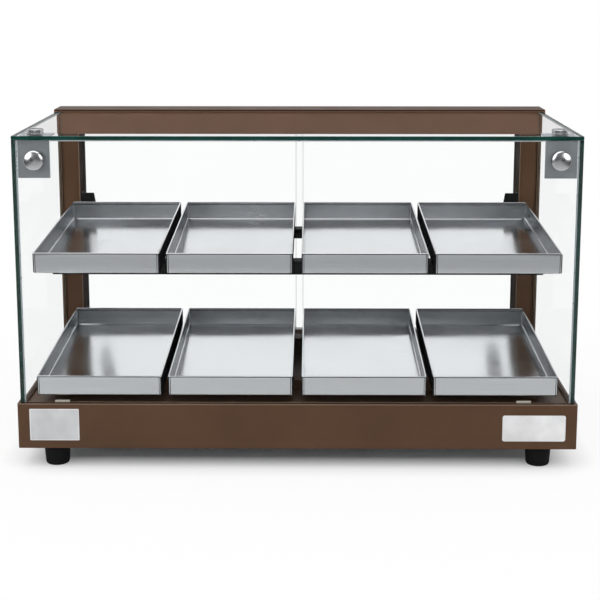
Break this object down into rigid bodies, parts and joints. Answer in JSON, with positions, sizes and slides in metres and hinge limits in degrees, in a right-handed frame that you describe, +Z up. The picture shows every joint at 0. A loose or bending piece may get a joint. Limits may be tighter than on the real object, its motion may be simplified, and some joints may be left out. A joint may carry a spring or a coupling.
{
  "type": "food display case",
  "caption": "Counter-top warming display case with glass front, sides and top, sliding rear doors and two rows of lift-out stainless trays.",
  "frame": {"origin": "on the counter, under the middle of the overall box, buttons and knob included", "axes": "+Z up, -Y towards the customer, +X to the customer's right"},
  "size_m": [0.768, 0.43, 0.469],
  "materials": {
    "brown_paint": "satin powder coat",
    "black_paint": "satin",
    "glass": "clear float glass, ground edges",
    "stainless": "brushed",
    "zinc_steel": "matt zinc",
    "screw_steel": "plain",
    "chrome": "polished",
    "black_rubber": "matt",
    "clear_silicone": "translucent",
    "clear_plastic": "translucent",
    "beige_plastic": "matt",
    "track_aluminium": "anodised",
    "grey_plastic": "satin",
    "plate_black": "matt",
    "black_plastic": "moulded",
    "red_lens": "clear red",
    "white_ceramic": "unglazed",
    "thermostat_brass": "plain",
    "copper": "plain",
    "element_steel": "heat darkened",
    "wire_cover": "matt"
  },
  "bodies": {
    "case": {"base_housing": "brown_paint", "deck_plate": "brown_paint", "post_left": "brown_paint", "post_right": "brown_paint", "header_beam": "brown_paint", "header_cap_left": "brown_paint", "header_cap_right": "brown_paint", "lower_runners": "brown_paint", "shelf_front_rail": "black_paint", "shelf_rear_rail": "black_paint", "shelf_arms": "black_paint", "shelf_gussets": "black_paint", "front_glass": "glass", "side_glass_left": "glass", "side_glass_right": "glass", "top_glass": "glass", "corner_bracket_left": "zinc_steel", "corner_bracket_right": "zinc_steel", "bottom_cover": "zinc_steel", "heater_supports": "zinc_steel", "pan_screws": "screw_steel", "end_cap_screws": "screw_steel", "gusset_screws": "screw_steel", "post_bolts": "screw_steel", "foot_fixings": "screw_steel", "button_nuts": "screw_steel", "front_buttons": "chrome", "top_buttons": "chrome", "feet": "black_rubber", "glazing_gaskets": "black_rubber", "silicone_beads": "clear_silicone", "button_washers": "clear_plastic", "glazing_clips": "beige_plastic", "door_track_top": "track_aluminium", "door_track_bottom": "track_aluminium", "control_plate": "plate_black", "switch_housing": "black_plastic", "power_inlet": "black_plastic", "pilot_lamp": "red_lens", "terminal_block": "white_ceramic", "thermostat_body": "thermostat_brass", "sensing_bulb": "copper", "heating_element": "element_steel", "internal_wires": "wire_cover"},
    "door_left": {"door_left": "glass", "door_pull_left": "grey_plastic"},
    "door_right": {"door_right": "glass", "door_pull_right": "grey_plastic"},
    "knob": {"thermostat_knob": "black_plastic", "thermostat_shaft": "thermostat_brass"},
    "rocker": {"rocker_button": "black_plastic"},
    "tray_upper_1": {"tray_upper_1": "stainless"},
    "tray_upper_2": {"tray_upper_2": "stainless"},
    "tray_upper_3": {"tray_upper_3": "stainless"},
    "tray_upper_4": {"tray_upper_4": "stainless"},
    "tray_lower_1": {"tray_lower_1": "stainless"},
    "tray_lower_2": {"tray_lower_2": "stainless"},
    "tray_lower_3": {"tray_lower_3": "stainless"},
    "tray_lower_4": {"tray_lower_4": "stainless"}
  },
  "joints": [
    {"name": "slide_door_left", "type": "slide", "parent": "case", "child": "door_left", "axis": [1, 0, 0], "range_m": [0, 0.3395]},
    {"name": "slide_door_right", "type": "slide", "parent": "case", "child": "door_right", "axis": [-1, 0, 0], "range_m": [0, 0.3395]},
    {"name": "turn_knob", "type": "hinge", "parent": "case", "child": "knob", "pos_m": [0.31, 0.1985, 0.0605], "axis": [0, -1, 0], "range_deg": [0, 270]},
    {"name": "press_rocker", "type": "hinge", "parent": "case", "child": "rocker", "pos_m": [0.254, 0.1983, 0.0605], "axis": [1, 0, 0], "range_deg": [0, 14]},
    {"name": "lift_tray_upper_1", "type": "slide", "parent": "case", "child": "tray_upper_1", "axis": [0, 0, 1], "range_m": [0, 0.09]},
    {"name": "lift_tray_upper_2", "type": "slide", "parent": "case", "child": "tray_upper_2", "axis": [0, 0, 1], "range_m": [0, 0.09]},
    {"name": "lift_tray_upper_3", "type": "slide", "parent": "case", "child": "tray_upper_3", "axis": [0, 0, 1], "range_m": [0, 0.09]},
    {"name": "lift_tray_upper_4", "type": "slide", "parent": "case", "child": "tray_upper_4", "axis": [0, 0, 1], "range_m": [0, 0.09]},
    {"name": "lift_tray_lower_1", "type": "slide", "parent": "case", "child": "tray_lower_1", "axis": [0, 0, 1], "range_m": [0, 0.115]},
    {"name": "lift_tray_lower_2", "type": "slide", "parent": "case", "child": "tray_lower_2", "axis": [0, 0, 1], "range_m": [0, 0.115]},
    {"name": "lift_tray_lower_3", "type": "slide", "parent": "case", "child": "tray_lower_3", "axis": [0, 0, 1], "range_m": [0, 0.115]},
    {"name": "lift_tray_lower_4", "type": "slide", "parent": "case", "child": "tray_lower_4", "axis": [0, 0, 1], "range_m": [0, 0.115]}
  ]
}
